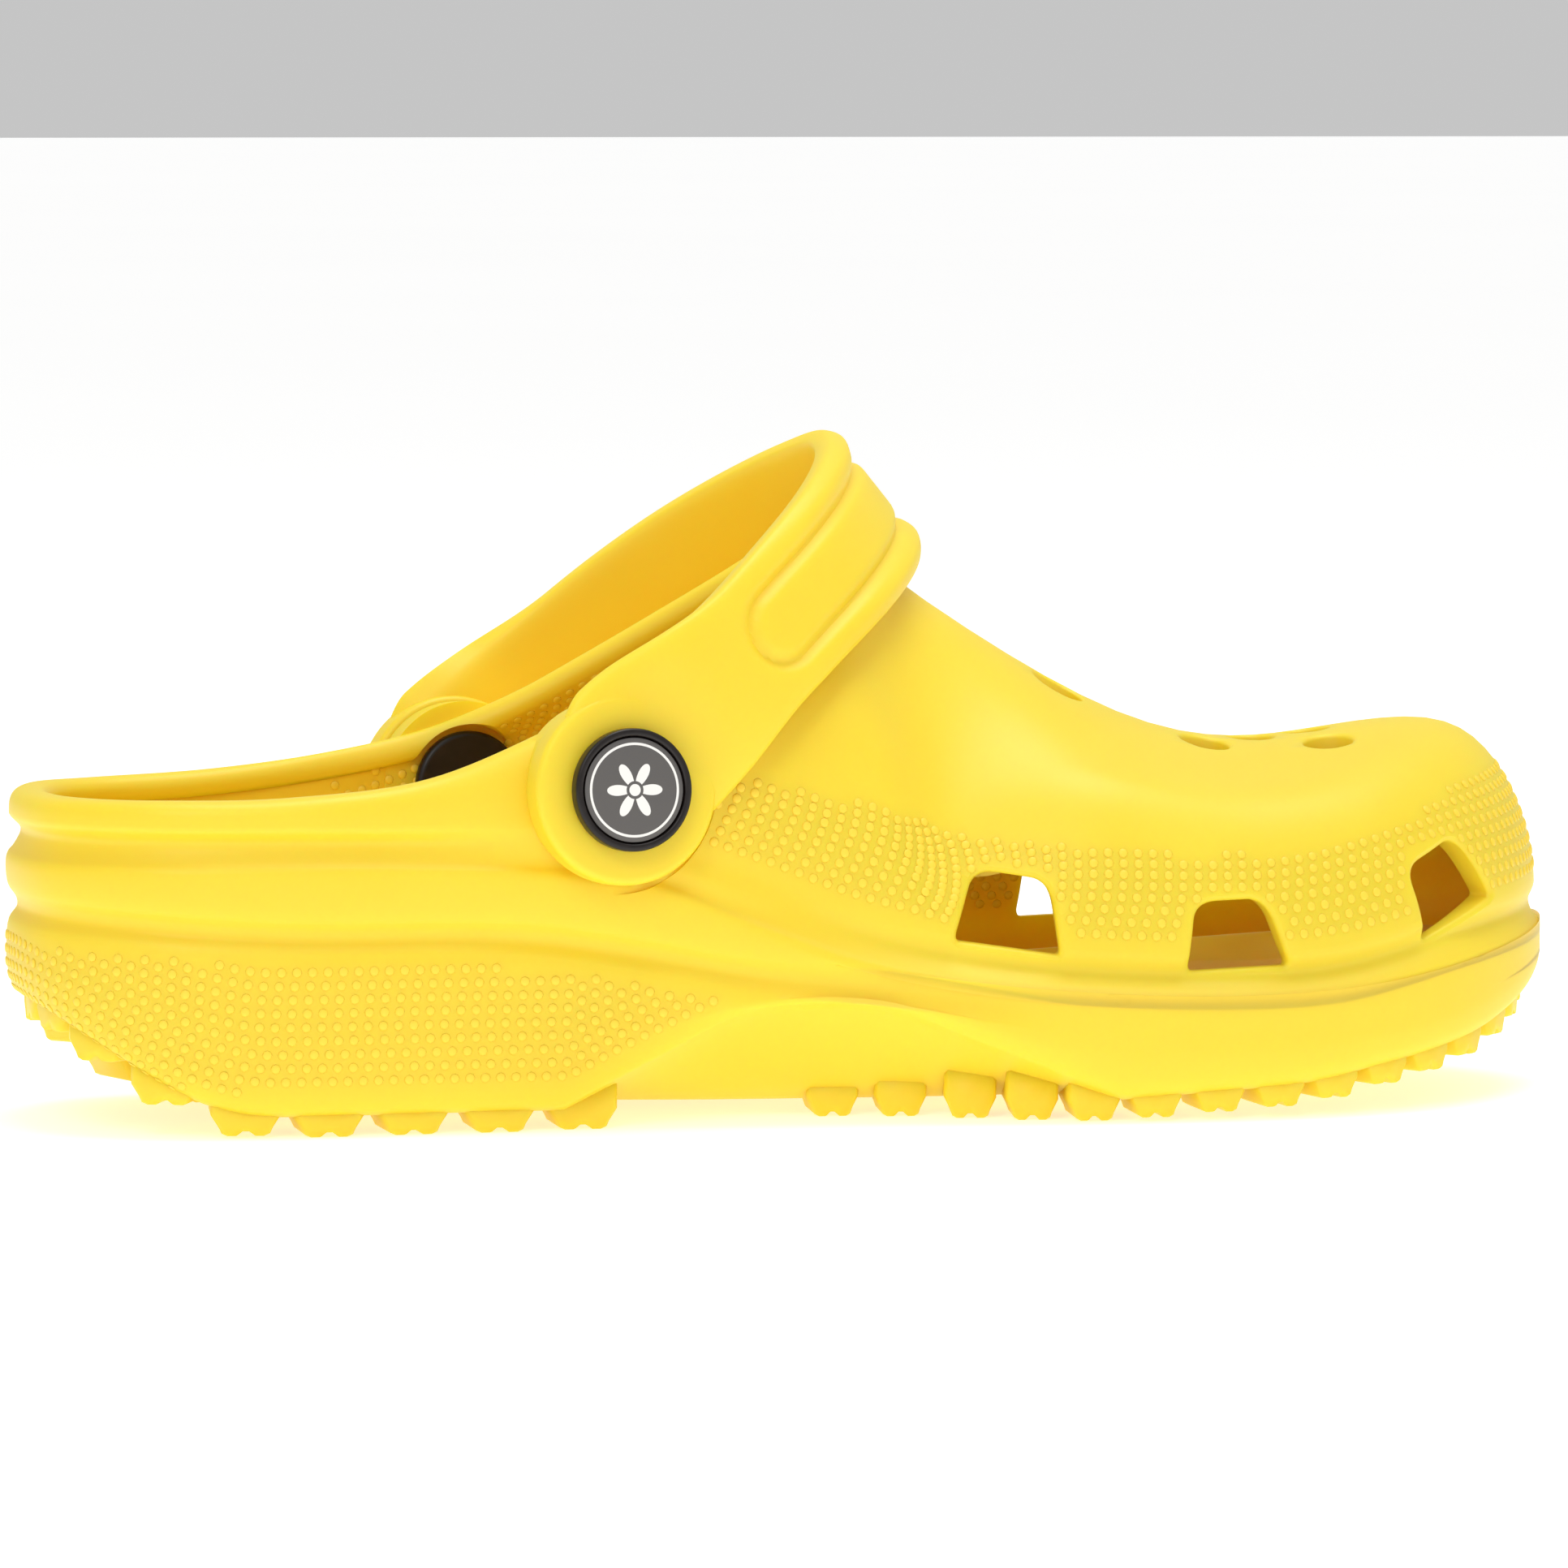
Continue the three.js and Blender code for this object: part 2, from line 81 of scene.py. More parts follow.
def curveThrough(points, u, closed=False, chordPower=0.5):
    # Catmull-Rom through the points at u = 0 .. count, with its direction; axis 0 of points is the order
    p = np.asarray(points, float)
    count = len(p)
    if closed:
        span = np.floor(u).astype(int)
        ids = [(span + k) % count for k in (-1, 0, 1, 2)]
        four = [p[i] for i in ids]
        w = u - span
    else:
        padded = np.concatenate([2 * p[:1] - p[1:2], p, 2 * p[-1:] - p[-2:-1]])
        span = np.clip(np.floor(u).astype(int), 0, count - 2)
        four = [padded[span + k] for k in (0, 1, 2, 3)]
        w = u - span
    w = w.reshape((-1,) + (1,) * (p.ndim - 1))
    gaps = [np.maximum(np.linalg.norm(four[k + 1] - four[k], axis=-1, keepdims=True), 1e-6) ** chordPower
            for k in range(3)]
    a, b, c, d = four
    ga, gb, gc = gaps
    t1 = ((b - a) / ga - (c - a) / (ga + gb) + (c - b) / gb) * gb
    t2 = ((c - b) / gb - (d - b) / (gb + gc) + (d - c) / gc) * gb
    k2 = -3 * b + 3 * c - 2 * t1 - t2
    k3 = 2 * b - 2 * c + t1 + t2
    return b + w * (t1 + w * (k2 + w * k3)), t1 + w * (2 * k2 + 3 * w * k3)


# mesh helpers

def skinMesh(name, rows, closeEnds=True):
    # a tube of closed rings, in millimetres in, metres out, with a fan over each end
    rows = [np.asarray(r, float) * mm for r in rows]
    count = len(rows[0])
    verts = np.concatenate(rows)
    faces = []
    for k in range(len(rows) - 1):
        low, high = k * count, (k + 1) * count
        for i in range(count):
            j = (i + 1) % count
            faces.append((low + i, low + j, high + j, high + i))
    if closeEnds:
        ends = np.array([rows[0].mean(axis=0), rows[-1].mean(axis=0)])
        first = len(verts)
        verts = np.concatenate([verts, ends])
        last = (len(rows) - 1) * count
        for i in range(count):
            j = (i + 1) % count
            faces.append((first, j, i))
            faces.append((first + 1, last + i, last + j))
    mesh = bpy.data.meshes.new(name)
    mesh.from_pydata(verts.tolist(), [], faces)
    return facedOut(mesh)


def facedOut(mesh):
    work = bmesh.new()
    work.from_mesh(mesh)
    bmesh.ops.remove_doubles(work, verts=work.verts, dist=1e-7)
    if work.calc_volume(signed=True) < 0:
        bmesh.ops.reverse_faces(work, faces=work.faces)
    work.to_mesh(mesh)
    work.free()
    return mesh


def turnedMesh(name, profile, matrix=Matrix(), sides=96):
    # a solid of revolution about local z from (radius, height) pairs in millimetres
    rows = []
    angles = np.arange(sides) / sides * 2 * math.pi
    for radius, height in profile:
        if radius > 0:
            rows.append(np.stack([np.cos(angles) * radius, np.sin(angles) * radius,
                                  np.full(sides, height)], axis=1))
    mesh = skinMesh(name, rows)
    mesh.transform(matrix)
    return mesh


def rounded(corners, radius, steps=6):
    # (radius, height) profile with its inner corners rounded by circular arcs
    out = [corners[0]]
    for before, here, after in zip(corners, corners[1:], corners[2:]):
        p, q, r = (np.array(c, float) for c in (before, here, after))
        a, b = (p - q) / np.linalg.norm(p - q), (r - q) / np.linalg.norm(r - q)
        half = math.acos(np.clip(a @ b, -1, 1)) / 2
        reach = min(radius / math.tan(half), np.linalg.norm(p - q) * 0.49, np.linalg.norm(r - q) * 0.49)
        for k in range(steps + 1):
            t = k / steps
            out.append(tuple((1 - t) ** 2 * (q + a * reach) + 2 * t * (1 - t) * q + t * t * (q + b * reach)))
    out.append(corners[-1])
    return out


def addObject(name, mesh):
    obj = bpy.data.objects.new(name, mesh)
    bpy.context.scene.collection.objects.link(obj)
    return obj


def joined(name, meshes):
    work = bmesh.new()
    for mesh in meshes:
        work.from_mesh(mesh)
    out = bpy.data.meshes.new(name)
    work.to_mesh(out)
    work.free()
    return out


def baked(obj):
    # the evaluated mesh takes the place of the object's own, and its modifiers go
    bpy.context.view_layer.update()
    depsgraph = bpy.context.evaluated_depsgraph_get()
    mesh = bpy.data.meshes.new_from_object(obj.evaluated_get(depsgraph))
    obj.modifiers.clear()
    obj.data = mesh
    return obj


def carve(obj, steps):
    # each step is (operation, meshes): the meshes are joined to the object or cut from it
    for operation, meshes in steps:
        tool = addObject("tool", joined("tool", meshes))
        change = obj.modifiers.new("carve", "BOOLEAN")
        change.operation = operation
        change.solver = "MANIFOLD"
        change.object = tool
        baked(obj)
        bpy.data.objects.remove(tool)
    return obj


def finished(obj, material, crease=38):
    mesh = obj.data
    mesh.materials.clear()
    mesh.materials.append(material)
    mesh.polygons.foreach_set("use_smooth", [True] * len(mesh.polygons))
    mesh.set_sharp_from_angle(angle=math.radians(crease))
    mesh.update()
    return obj


# node helpers

def addNode(tree, kind, settings=None, inputs=None):
    node = tree.nodes.new(kind)
    for key, value in (settings or {}).items():
        setattr(node, key, value)
    for key, value in (inputs or {}).items():
        if isinstance(value, bpy.types.NodeSocket):
            tree.links.new(value, node.inputs[key])
        else:
            node.inputs[key].default_value = value
    return node


def linear(hexCode):
    # sRGB hex to the linear colour that sockets hold
    parts = [int(hexCode[i:i + 2], 16) / 255 for i in (1, 3, 5)]
    return tuple(c / 12.92 if c <= 0.04045 else ((c + 0.055) / 1.055) ** 2.4 for c in parts) + (1.0,)


def newMaterial(name, **fixed):
    material = bpy.data.materials.new(name)
    material.use_nodes = True
    tree = material.node_tree
    surface = tree.nodes["Principled BSDF"]
    for key, value in fixed.items():
        surface.inputs[key.replace("_", " ")].default_value = value
    place = addNode(tree, "ShaderNodeTexCoord")
    return material, tree, surface, place


# materials

foamLook = {
    "deep": "#f8d42b", "bright": "#fbdc38", "cloud": 34.0, "grain": 0.9, "grainHeight": 0.035,
    "roughLow": 0.40, "roughHigh": 0.54, "glow": 0.4, "glowColours": (1.0, 0.42, 0.05), "glowDepth": 11.0,
}


def mouldedFoam(name, look):
    # EVA foam, injection moulded: an even satin skin with a faint cast grain and slow shifts of tone
    material, tree, surface, place = newMaterial(name, IOR=1.48, Subsurface_Weight=look["glow"],
                                                 Subsurface_Radius=look["glowColours"],
                                                 Subsurface_Scale=look["glowDepth"] * mm)
    spot = place.outputs["Object"]
    cloud = addNode(tree, "ShaderNodeTexNoise", None,
                    {"Vector": spot, "Scale": 1000 / look["cloud"], "Detail": 3.0})
    tone = addNode(tree, "ShaderNodeMix", {"data_type": "RGBA"},
                   {0: cloud.outputs["Fac"], 6: linear(look["deep"]), 7: linear(look["bright"])})
    tree.links.new(tone.outputs[2], surface.inputs["Base Color"])
    satin = addNode(tree, "ShaderNodeMapRange", None,
                    {"Value": cloud.outputs["Fac"], "To Min": look["roughLow"], "To Max": look["roughHigh"]})
    tree.links.new(satin.outputs["Result"], surface.inputs["Roughness"])
    grain = addNode(tree, "ShaderNodeTexNoise", None,
                    {"Vector": spot, "Scale": 1000 / look["grain"], "Detail": 2.0})
    bump = addNode(tree, "ShaderNodeBump", None,
                   {"Height": grain.outputs["Fac"], "Strength": 0.5, "Distance": look["grainHeight"] * mm})
    tree.links.new(bump.outputs["Normal"], surface.inputs["Normal"])
    return material


plasticLook = {"colour": "#120d0c", "worn": "#231c1a", "mottle": 2.2, "roughLow": 0.26, "roughHigh": 0.42}


def glossPlastic(name, look):
    # ABS, injection moulded and polished: near black, with a soft gloss and a slight handling haze
    material, tree, surface, place = newMaterial(name, IOR=1.53, Specular_IOR_Level=0.32)
    haze = addNode(tree, "ShaderNodeTexNoise", None,
                   {"Vector": place.outputs["Object"], "Scale": 1000 / look["mottle"], "Detail": 4.0})
    tone = addNode(tree, "ShaderNodeMix", {"data_type": "RGBA"},
                   {0: haze.outputs["Fac"], 6: linear(look["colour"]), 7: linear(look["worn"])})
    tree.links.new(tone.outputs[2], surface.inputs["Base Color"])
    gloss = addNode(tree, "ShaderNodeMapRange", None,
                    {"Value": haze.outputs["Fac"], "To Min": look["roughLow"], "To Max": look["roughHigh"]})
    tree.links.new(gloss.outputs["Result"], surface.inputs["Roughness"])
    return material


printLook = {"ground": "#5b5856", "ink": "#f2f0ec", "ring": 7.7, "ringWidth": 0.42, "petals": 6,
             "petalFrom": 1.5, "petalTo": 4.9, "eye": 1.0, "grain": 0.5}


def printedPlastic(name, look):
    # matt ABS disc with a pad-printed ring and a plain six-petal flower, drawn on the disc's own map in mm
    material, tree, surface, place = newMaterial(name, IOR=1.5)

    def maths(operation, *values):
        return addNode(tree, "ShaderNodeMath", {"operation": operation},
                       dict(enumerate(values))).outputs[0]

    spot = addNode(tree, "ShaderNodeSeparateXYZ", None, {0: place.outputs["UV"]})
    x = maths("MULTIPLY", maths("SUBTRACT", spot.outputs["X"], 0.5), discMapSize)
    y = maths("MULTIPLY", maths("SUBTRACT", spot.outputs["Y"], 0.5), discMapSize)
    radius = maths("SQRT", maths("ADD", maths("MULTIPLY", x, x), maths("MULTIPLY", y, y)))
    angle = maths("ARCTAN2", y, x)
    offRing = maths("ABSOLUTE", maths("SUBTRACT", radius, look["ring"]))
    ring = maths("LESS_THAN", offRing, look["ringWidth"] / 2)
    wave = maths("ABSOLUTE", maths("COSINE", maths("MULTIPLY", angle, look["petals"] / 2)))
    petal = maths("LESS_THAN", radius, maths("MULTIPLY", wave, look["petalTo"]))
    petal = maths("MULTIPLY", petal, maths("GREATER_THAN", radius, look["petalFrom"]))
    eye = maths("LESS_THAN", radius, look["eye"])
    ink = maths("MAXIMUM", maths("MAXIMUM", ring, petal), eye)
    tone = addNode(tree, "ShaderNodeMix", {"data_type": "RGBA"},
                   {0: ink, 6: linear(look["ground"]), 7: linear(look["ink"])})
    tree.links.new(tone.outputs[2], surface.inputs["Base Color"])
    speck = addNode(tree, "ShaderNodeTexNoise", None,
                    {"Vector": place.outputs["Object"], "Scale": 1000 / look["grain"]})
    matt = addNode(tree, "ShaderNodeMapRange", None,
                   {"Value": speck.outputs["Fac"], "To Min": 0.38, "To Max": 0.56})
    tree.links.new(matt.outputs["Result"], surface.inputs["Roughness"])
    return material


bodyFoam = mouldedFoam("moulded_eva_foam_yellow", foamLook)
strapFoam = mouldedFoam("moulded_eva_foam_strap", foamLook)
# the pimples are too small for light to travel through them, so their foam has no glow
pimpleLook = {**foamLook, "glow": 0.0, "deep": "#f9d538", "bright": "#fcdd44"}
pimpleFoam = mouldedFoam("moulded_eva_foam_pimples", pimpleLook)
blackPlastic = glossPlastic("polished_abs_black", plasticLook)
printedDisc = printedPlastic("pad_printed_abs", printLook)
print("materials made")


# the clog's shell

clog = {
    "shift": (-136, -1.96, 0), "wall": 4.6, "lugDrop": 3.5, "columns": 288, "upperRows": 34,
    "stepsPerBand": 5, "crownFade": 45, "grooveWidth": 6, "easing": 6,
    "midFrom": 34, "midTo": 232, "midShare": 0.72, "farArch": 0.25, "spread": 2.2,
    # outline x, outline y, throat edge x, throat edge y, throat edge z; heel back first, then the inner side
    "stations": [
        (0, -1, 5, -1, 56.4), (4, -20, 9, -18, 56.4), (19, -33, 21, -28.5, 56.5), (42, -38, 42, -33, 56.9),
        (68, -38.5, 66, -34, 59.8), (94, -39.5, 89, -34, 68.8), (120, -41, 106, -31, 76),
        (146, -44, 120, -25, 84), (171, -49, 131, -17.5, 91), (196, -51.5, 139, -11, 97),
        (220, -50.5, 143, -5.5, 100), (242, -43, 145, -1.5, 101), (259, -29, 145.7, 1.5, 101.4),
        (269, -12, 146, 3, 101.5), (272, 4, 146, 4.5, 101.5), (266, 20, 145.5, 6, 101.4),
        (253, 36, 144.5, 8.5, 101), (235, 47, 142, 11.5, 99.8), (212, 53.5, 138, 15.5, 96.5),
        (187, 55.5, 131, 20, 91), (162, 55, 121, 26, 84), (137, 52, 108, 31, 76), (112, 48, 94, 34.5, 68.5),
        (88, 43.5, 78, 36, 62.5), (64, 39.5, 60, 34.5, 59), (40, 37.5, 40, 32.5, 56.8),
        (18, 32.5, 20, 27.5, 56.2), (4, 19, 9, 17, 56.5)],
    "treadBase": [(0, 21), (8, 16), (17, 10.5), (27, 5.6), (38, 3.5), (172, 3.5), (198, 4.8), (217, 6),
                  (229, 8), (240, 9.8), (251, 12), (260, 15), (272, 19.5)],
    "archLift": [(88, 0), (104, 8), (119, 14.5), (141, 15), (160, 8.5), (182, 0)],
    "bulge": [(0, 29), (20, 24), (60, 19), (100, 20), (140, 21), (180, 14), (230, 16), (272, 25)],
    "lowGroove": [(0, 37), (40, 34), (80, 33), (100, 30), (120, 26), (141, 23.5), (170, 20), (200, 18.5),
                  (230, 20), (272, 27)],
    "lowDepth": [(0, 1.9), (110, 1.7), (150, 0.9), (175, 0), (272, 0)],
    "rand": [(0, 46), (60, 45.5), (100, 42.5), (120, 35), (140, 28), (165, 23.5), (195, 21.5), (220, 22),
             (245, 26.5), (272, 30)],
    "highGroove": [(0, 49.5), (60, 49), (95, 47.5), (120, 39), (140, 31.5), (165, 26.5), (195, 24.5),
                   (220, 25), (245, 29.5), (272, 33)],
    "highDepth": [(0, 2.6), (60, 2.4), (90, 1.2), (115, 1.8), (140, 3.2), (170, 3.8), (250, 3.2), (272, 2)],
    "wallBase": [(0, 52), (60, 51.5), (95, 50.5), (120, 42.5), (140, 35), (165, 30), (195, 28), (220, 28.5),
                 (245, 33), (272, 36)],
    "crest": [(80, 104), (138, 104), (146, 101.5), (153, 92.2), (161, 86), (170, 80), (179.5, 74),
              (187, 69.5), (196, 65.2), (205, 62.1), (215, 61), (224, 61.2), (233, 62.6), (243, 64),
              (253, 64.8), (272, 64.8)],
    "crownDrop": [(80, 0.045), (133, 0.048), (143, 0.047), (151, 0.052), (165, 0.036), (180, 0.019),
                  (210, 0.009), (250, 0.007), (272, 0.007)],
    "crownCentre": [(80, 2), (146, 6), (165, 5.5), (200, 3), (272, 2)],
    "wallInset": [(0, 0.6), (85, 0.8), (105, 1.8), (125, 2.8), (170, 2.8), (250, 2), (272, 1)],
    "shoulder": [(0, 5.2), (80, 8), (110, 18), (140, 26), (200, 26), (250, 20), (272, 17)],
    "boxiness": [(0, 3.2), (90, 3), (130, 2.2), (180, 1.9), (272, 1.75)],
    "footbed": [(0, 30), (30, 26), (60, 24), (110, 21), (160, 16.5), (200, 15.5), (235, 18.5), (262, 24),
                (272, 27)],
}


def level(key, x):
    return along(clog[key], x)


class Columns:
    # the shell's vertical slices at the given turns round the outline, 0 to 1
    def __init__(self, turns):
        rows = np.array(clog["stations"], float)
        u = np.mod(turns, 1) * len(rows)
        self.edge, run = curveThrough(rows[:, :2], u, True, 0)
        self.lip = curveThrough(rows[:, 2:], u, True, 0)[0]
        run /= np.linalg.norm(run, axis=1, keepdims=True)
        self.inward = np.stack([-run[:, 1], run[:, 0]], axis=1)
        self.x = self.edge[:, 0]
        share = np.where(self.edge[:, 1] < 0, 1, clog["farArch"])
        self.arch = level("archLift", self.x) * share
        self.tread = np.maximum(level("treadBase", self.x), clog["lugDrop"])

    def inset(self, depth, z):
        plan = self.edge + self.inward * np.reshape(depth, (-1, 1))
        return np.column_stack([plan, np.broadcast_to(z, len(plan))])

    def centre(self, z):
        share = clog["midShare"]
        x = np.clip(self.x, clog["midFrom"], clog["midTo"])
        middle = np.column_stack([x, 1 + 0.01 * x, z])
        return self.inset(0, z) * (1 - share) + middle * share

    def upper(self, q):
        # q is 0 where the upper leaves the rand and 1 at the throat edge
        base = self.inset(level("wallInset", self.x), level("wallBase", self.x))
        reachOut = self.lip - base
        span = np.hypot(reachOut[:, 0], reachOut[:, 1])
        spread = q ** clog["spread"]
        x = base[:, 0] + reachOut[:, 0] * spread
        y = base[:, 1] + reachOut[:, 1] * spread
        reach = np.minimum(level("shoulder", self.x), span)
        near = np.minimum(span * spread / reach, 1)
        power = level("boxiness", self.x)
        rise = (1 - (1 - near) ** power) ** (1 / power)
        drift = self.lip[:, 2] - crownAt(self.lip[:, 0], self.lip[:, 1])
        vamp = smooth(self.x, 80, 165)
        top = self.lip[:, 2] * (1 - vamp) + (crownAt(x, y) + drift * spread) * vamp
        return np.column_stack([x, y, base[:, 2] + (top - base[:, 2]) * rise])


def crownAt(x, y):
    drift = (y - level("crownCentre", x)) ** 2
    return level("crest", x) - level("crownDrop", x) * drift / (1 + drift / clog["crownFade"] ** 2)


def gridNormals(grid):
    around = np.roll(grid, -1, axis=1) - np.roll(grid, 1, axis=1)
    across = np.gradient(grid, axis=0)
    n = np.cross(around, across)
    return n / np.linalg.norm(n, axis=2, keepdims=True)


def filled(rings, steps):
    # rings with smooth in-between ones
    rings = np.array(rings)
    u = np.linspace(0, len(rings) - 1, (len(rings) - 1) * steps + 1)
    return curveThrough(rings, u)[0]


def sideRings(c):
    groove, rand = level("lowGroove", c.x), level("rand", c.x)
    swell = level("bulge", c.x)
    foot = c.tread + c.arch
    low, high = level("lowDepth", c.x), level("highDepth", c.x)
    wide = clog["grooveWidth"] / 2
    return [
        c.centre(c.tread - 0.4), c.inset(18, c.tread), c.inset(4.2, foot), c.inset(1.4, foot + 1.6),
        c.inset(0.2, (foot + swell) / 2 + 1), c.inset(0, np.maximum(swell, foot + 3)),
        c.inset(low * 0.25, groove - wide), c.inset(low, groove - wide * 0.25),
        c.inset(low * 0.9, groove + wide * 0.3), c.inset(low * 0.2, groove + wide),
        c.inset(0, rand - 2.2), c.inset(0.35, rand - 0.7), c.inset(1.4, rand + 0.6),
        c.inset(high, level("highGroove", c.x)),
        c.upper(0), c.upper(1 / 11)]


def eased(grid, c):
    # irons the vamp, row by row and round it, and leaves the wall base and the throat edge alone
    hold = smooth(c.x, 110, 150)[None, :, None]
    rows = np.linspace(0, 1, len(grid))
    hold = hold * (smooth(rows, 0.1, 0.4) * (1 - smooth(rows, 0.9, 0.98)))[:, None, None]
    for _ in range(clog["easing"]):
        calm = (np.roll(grid, 1, axis=1) + np.roll(grid, -1, axis=1)) / 4 + grid / 2
        calm[1:-1] = (calm[:-2] + calm[2:]) / 4 + calm[1:-1] / 2
        grid = grid * (1 - hold) + calm * hold
    return grid


def shellRings(c):
    side = filled(sideRings(c), clog["stepsPerBand"])[:-clog["stepsPerBand"]]
    steps = np.linspace(0, 1, clog["upperRows"] + 1)
    outer = eased(np.array([c.upper(q) for q in steps]), c)
    normals = gridNormals(outer)
    wall = clog["wall"]
    away = outer[-1] - outer[-2]
    away /= np.linalg.norm(away, axis=1, keepdims=True)
    middle = outer[-1] - normals[-1] * wall / 2
    rim = [middle + (normals[-1] * math.cos(a) + away * math.sin(a)) * wall / 2
           for a in np.radians(np.arange(20, 180, 20))]
    inner = (outer - normals * wall)[::-1][:-3:1]
    bed = level("footbed", c.x)
    floor = filled([inner[-2], inner[-1], c.inset(5.4, bed + 6), c.inset(6.6, bed + 2), c.inset(9.5, bed),
                    c.inset(18, bed + 0.4), c.centre(bed + 0.8)], 4)[5:]
    return [*side[:-1], *outer, *rim, *inner, *floor]


def shifted(points):
    return np.asarray(points) + np.array(clog["shift"])


turns = np.arange(clog["columns"]) / clog["columns"]
shell = addObject("moulded_clog", skinMesh("moulded_clog", [shifted(r) for r in shellRings(Columns(turns))]))
print("shell grown")


# the hinge line and what sits on it

hinge = {
    "medialSeat": (96.2, -38.4, 57.6), "lateralSeat": (86.2, 42, 52.2), "gap": 0.3, "bossRadius": 16,
    "bossThickness": 6, "seatRadius": 17.6, "padThickness": 5.4, "padRadius": 15, "postRadius": 3.6,
    "postHoleRadius": 4.1, "studRadius": 2.1, "studHoleRadius": 2.5, "headRadius": 10.3,
    "headThickness": 3, "badgeRadius": 8.7, "badgeThickness": 0.8, "capRadius": 9.8, "capThickness": 2.6,
    "capClearance": 1.2, "cutPast": 9,
    "restAngle": 39.6,
}
medialSeat = Vector(shifted(hinge["medialSeat"]))
lateralSeat = Vector(shifted(hinge["lateralSeat"]))
halfSpan = (lateralSeat - medialSeat).length / 2
hingeAxis = (lateralSeat - medialSeat).normalized()
hingeForward = (Vector((1, 0, 0)) - hingeAxis * hingeAxis.x).normalized()
hingeUp = hingeForward.cross(hingeAxis)


def frameOf(x, y, z, origin):
    # a matrix in metres whose columns are the given directions
    m = Matrix.Identity(4)
    for k, axis in enumerate((x, y, z)):
        for row in range(3):
            m[row][k] = axis[row]
    m.translation = Vector(origin) * mm
    return m


def seatFrame(side):
    out = hingeAxis * side
    seat = medialSeat if side < 0 else lateralSeat
    return frameOf(hingeUp.cross(out), hingeUp, out, seat)


def disc(radius, low, high, side, fillet=0.0):
    corners = [(0.01, low), (radius, low), (radius, high), (0.01, high)]
    profile = rounded(corners, fillet) if fillet else corners
    return turnedMesh("disc", profile, seatFrame(side))


vents = [
    {"x": 163, "z": 35.8, "side": -1, "width": 18, "height": 12.2, "tilt": -8},
    {"x": 202.5, "z": 31.6, "side": -1, "width": 17.5, "height": 11.6, "tilt": 2},
    {"x": 245.5, "z": 38.4, "side": -1, "width": 19, "height": 12.6, "tilt": 20},
    {"x": 200, "z": 32.4, "side": 1, "width": 18, "height": 12, "tilt": 2},
    {"x": 232, "z": 35.4, "side": 1, "width": 17.5, "height": 12, "tilt": 8},
    {"x": 259, "z": 42.4, "side": 1, "width": 16, "height": 11.6, "tilt": 18},
]
ventCut = {"corner": 3.4, "lip": 1.1, "inside": 12, "outside": 8, "curveSteps": 8}
topHoles = {
    "radius": 4.3, "lip": 0.8, "level": 64, "inside": 22, "outside": 20,
    "places": [(183, -4), (183, 11), (183, 26), (196, 5), (196, 20), (208.6, -8), (208.6, 7), (208.6, 22),
               (219.5, 0.5), (219.5, 13), (230.6, -10), (230.6, 4), (230.6, 18)],
}


def columnAt(x, side):
    trial = np.arange(1600) / 1600
    c = Columns(trial)
    miss = np.where(c.edge[:, 1] * side > 0, np.abs(c.x - x), np.inf)
    return Columns(trial[[int(np.argmin(miss))]])


def ventOutline(vent):
    # flat bottom, rounded top and a slanted front edge; local x runs towards the toe
    w, h, r = vent["width"] / 2, vent["height"] / 2, ventCut["corner"]
    bends = [
        ((w - 1, -h), (w, -h), (w - 0.4, 1.4 - h)),
        ((w - 2.2, h - r * 1.3), (w - 3.4, h), (w - 3.4 - r, h)),
        ((2.2 + r - w, h), (1.6 - w, h), (1.2 - w, h - r)),
        ((-w, 1.4 - h), (-w, -h), (1 - w, -h)),
    ]
    points = []
    for p, q, s in (map(np.array, b) for b in bends):
        for t in np.linspace(0, 1, ventCut["curveSteps"] + 1):
            points.append((1 - t) ** 2 * p + 2 * t * (1 - t) * q + t * t * s)
    dense = []
    for here, after in zip(points, points[1:] + points[:1]):
        parts = max(1, int(np.linalg.norm(after - here) // 1.2))
        dense += [here + (after - here) * k / parts for k in range(parts)]
    tilt = math.radians(vent["tilt"])
    turn = np.array([[math.cos(tilt), math.sin(tilt)], [-math.sin(tilt), math.cos(tilt)]])
    return np.array(dense) @ turn


def throughCut(outline, frameMatrix, tree, lip, inside, outside):
    # a cutter along local z whose mouth flares over the surface, so that the cut has a rounded lip
    ahead = np.roll(outline, -1, axis=0) - np.roll(outline, 1, axis=0)
    n = np.stack([ahead[:, 1], -ahead[:, 0]], axis=1)
    n /= np.linalg.norm(n, axis=1, keepdims=True)
    direction = -(frameMatrix.to_3x3() @ Vector((0, 0, 1)))

    def surface(points):
        depths = []
        for x, y in points:
            start = frameMatrix @ (Vector((x, y, outside)) * mm)
            hit = tree.ray_cast(start, direction)
            depths.append(outside - hit[3] / mm if hit[3] is not None else 0)
        return np.array(depths)

    near, wide = surface(outline), surface(outline + n * lip)
    rows = [np.column_stack([outline + n * (lip + 0.35), np.full(len(outline), outside)]),
            np.column_stack([outline + n * (lip + 0.35), wide + 0.3])]
    for turn in np.radians([12, 30, 48, 66, 84]):
        share = turn / (math.pi / 2)
        depth = wide * (1 - share) + near * share - lip + lip * math.cos(turn)
        rows.append(np.column_stack([outline + n * lip * (1 - math.sin(turn)), depth]))
    rows.append(np.column_stack([outline, np.full(len(outline), -inside)]))
    mesh = skinMesh("cut", rows)
    mesh.transform(frameMatrix)
    return mesh


